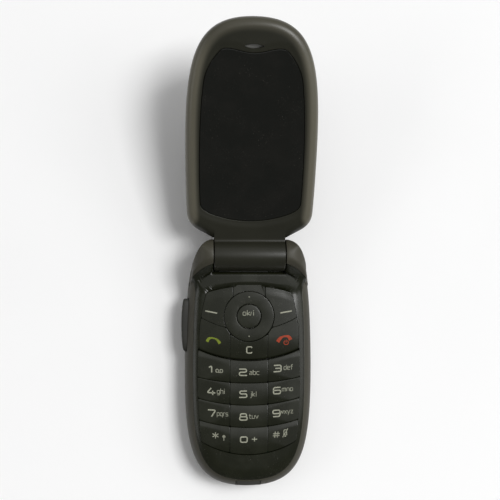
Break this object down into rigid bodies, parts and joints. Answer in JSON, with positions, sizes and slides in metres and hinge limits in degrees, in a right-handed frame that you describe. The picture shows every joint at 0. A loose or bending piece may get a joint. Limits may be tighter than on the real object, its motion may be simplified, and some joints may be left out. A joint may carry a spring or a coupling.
{
  "type": "flip phone",
  "caption": "Clamshell mobile phone, open and lying on its back: keypad half with pressable keys, and a lid with a display that closes over it on a barrel hinge.",
  "frame": {"origin": "middle of the flat back of the keypad half", "axes": "+Z out of the keypad, +Y from the keypad's foot towards the hinge and the open lid, X across the keys"},
  "size_m": [0.0453, 0.1563, 0.0395],
  "materials": {
    "satin_shell": "satin",
    "gloss_face": "gloss",
    "keycap": "gloss",
    "window": "gloss",
    "dark_plastic": "matte",
    "battery": "matte",
    "rubber": "matte",
    "board": "matte",
    "copper": "satin",
    "steel": "satin"
  },
  "bodies": {
    "base": {"rear_cover": "satin_shell", "front_cover": "gloss_face", "battery_pack": "battery", "main_board": "board", "shield_cans": "steel", "dome_sheet": "steel", "key_mat": "rubber", "microphone": "dark_plastic", "system_connector": "dark_plastic", "sim_holder": "steel", "loudspeaker": "dark_plastic", "vibration_motor": "steel", "antenna": "copper", "backup_cell": "steel", "battery_contacts": "copper", "side_switches": "copper", "base_screws": "steel", "hinge_cam": "steel", "hinge_sleeve": "steel", "board_flex": "copper"},
    "lid": {"lid_inner_cover": "satin_shell", "lid_outer_cover": "satin_shell", "inner_lens": "window", "outer_lens": "window", "main_display": "dark_plastic", "sub_display": "dark_plastic", "display_board": "board", "display_bracket": "steel", "earpiece": "steel", "earpiece_mesh": "steel", "lid_magnet": "steel", "lid_screws": "steel", "hinge_cartridge": "steel", "lid_flex": "copper"},
    "battery_cover": {"battery_cover": "satin_shell"},
    "side_key": {"side_key": "satin_shell"},
    "vibration_weight": {"vibration_weight": "steel"},
    "nav_web": {"nav_web": "rubber"},
    "nav_key": {"nav_key": "keycap"},
    "key_select": {"key_select": "keycap"},
    "key_clear": {"key_clear": "keycap"},
    "key_soft_left": {"key_soft_left": "keycap"},
    "key_soft_right": {"key_soft_right": "keycap"},
    "key_call": {"key_call": "keycap"},
    "key_end": {"key_end": "keycap"},
    "key_1": {"key_1": "keycap"},
    "key_2": {"key_2": "keycap"},
    "key_3": {"key_3": "keycap"},
    "key_4": {"key_4": "keycap"},
    "key_5": {"key_5": "keycap"},
    "key_6": {"key_6": "keycap"},
    "key_7": {"key_7": "keycap"},
    "key_8": {"key_8": "keycap"},
    "key_9": {"key_9": "keycap"},
    "key_star": {"key_star": "keycap"},
    "key_0": {"key_0": "keycap"},
    "key_hash": {"key_hash": "keycap"}
  },
  "joints": [
    {"name": "lid_hinge", "type": "hinge", "parent": "base", "child": "lid", "pos_m": [0, 0.0371, 0.014], "axis": [1, 0, 0], "range_deg": [0, 161]},
    {"name": "battery_cover_slide", "type": "slide", "parent": "base", "child": "battery_cover", "axis": [0, -1, 0], "range_m": [0, 0.004]},
    {"name": "side_key_rock", "type": "hinge", "parent": "base", "child": "side_key", "pos_m": [-0.0195, 0.0132, 0.008], "axis": [0, 0, 1], "range_deg": [-1.2, 1.2], "stiffness_Nm_per_rad": 0.5},
    {"name": "vibration_weight_spin", "type": "hinge", "parent": "base", "child": "vibration_weight", "pos_m": [-0.003, 0.0186, 0.0034], "axis": [1, 0, 0], "continuous": true},
    {"name": "nav_rock_up_down", "type": "hinge", "parent": "base", "child": "nav_web", "pos_m": [0, 0.0163, 0.0113], "axis": [1, 0, 0], "range_deg": [-2, 2], "stiffness_Nm_per_rad": 0.3},
    {"name": "nav_rock_left_right", "type": "hinge", "parent": "nav_web", "child": "nav_key", "pos_m": [0, 0.0163, 0.0113], "axis": [0, 1, 0], "range_deg": [-2, 2], "stiffness_Nm_per_rad": 0.3},
    {"name": "key_select_press", "type": "slide", "parent": "base", "child": "key_select", "axis": [0, 0, -1], "range_m": [0, 0.0003], "stiffness_N_per_m": 2500},
    {"name": "key_clear_press", "type": "slide", "parent": "base", "child": "key_clear", "axis": [0, 0, -1], "range_m": [0, 0.0003], "stiffness_N_per_m": 2500},
    {"name": "key_soft_left_press", "type": "slide", "parent": "base", "child": "key_soft_left", "axis": [0, 0, -1], "range_m": [0, 0.0003], "stiffness_N_per_m": 2500},
    {"name": "key_soft_right_press", "type": "slide", "parent": "base", "child": "key_soft_right", "axis": [0, 0, -1], "range_m": [0, 0.0003], "stiffness_N_per_m": 2500},
    {"name": "key_call_press", "type": "slide", "parent": "base", "child": "key_call", "axis": [0, 0, -1], "range_m": [0, 0.0003], "stiffness_N_per_m": 2500},
    {"name": "key_end_press", "type": "slide", "parent": "base", "child": "key_end", "axis": [0, 0, -1], "range_m": [0, 0.0003], "stiffness_N_per_m": 2500},
    {"name": "key_1_press", "type": "slide", "parent": "base", "child": "key_1", "axis": [0, 0, -1], "range_m": [0, 0.0003], "stiffness_N_per_m": 2500},
    {"name": "key_2_press", "type": "slide", "parent": "base", "child": "key_2", "axis": [0, 0, -1], "range_m": [0, 0.0003], "stiffness_N_per_m": 2500},
    {"name": "key_3_press", "type": "slide", "parent": "base", "child": "key_3", "axis": [0, 0, -1], "range_m": [0, 0.0003], "stiffness_N_per_m": 2500},
    {"name": "key_4_press", "type": "slide", "parent": "base", "child": "key_4", "axis": [0, 0, -1], "range_m": [0, 0.0003], "stiffness_N_per_m": 2500},
    {"name": "key_5_press", "type": "slide", "parent": "base", "child": "key_5", "axis": [0, 0, -1], "range_m": [0, 0.0003], "stiffness_N_per_m": 2500},
    {"name": "key_6_press", "type": "slide", "parent": "base", "child": "key_6", "axis": [0, 0, -1], "range_m": [0, 0.0003], "stiffness_N_per_m": 2500},
    {"name": "key_7_press", "type": "slide", "parent": "base", "child": "key_7", "axis": [0, 0, -1], "range_m": [0, 0.0003], "stiffness_N_per_m": 2500},
    {"name": "key_8_press", "type": "slide", "parent": "base", "child": "key_8", "axis": [0, 0, -1], "range_m": [0, 0.0003], "stiffness_N_per_m": 2500},
    {"name": "key_9_press", "type": "slide", "parent": "base", "child": "key_9", "axis": [0, 0, -1], "range_m": [0, 0.0003], "stiffness_N_per_m": 2500},
    {"name": "key_star_press", "type": "slide", "parent": "base", "child": "key_star", "axis": [0, 0, -1], "range_m": [0, 0.0003], "stiffness_N_per_m": 2500},
    {"name": "key_0_press", "type": "slide", "parent": "base", "child": "key_0", "axis": [0, 0, -1], "range_m": [0, 0.0003], "stiffness_N_per_m": 2500},
    {"name": "key_hash_press", "type": "slide", "parent": "base", "child": "key_hash", "axis": [0, 0, -1], "range_m": [0, 0.0003], "stiffness_N_per_m": 2500}
  ]
}
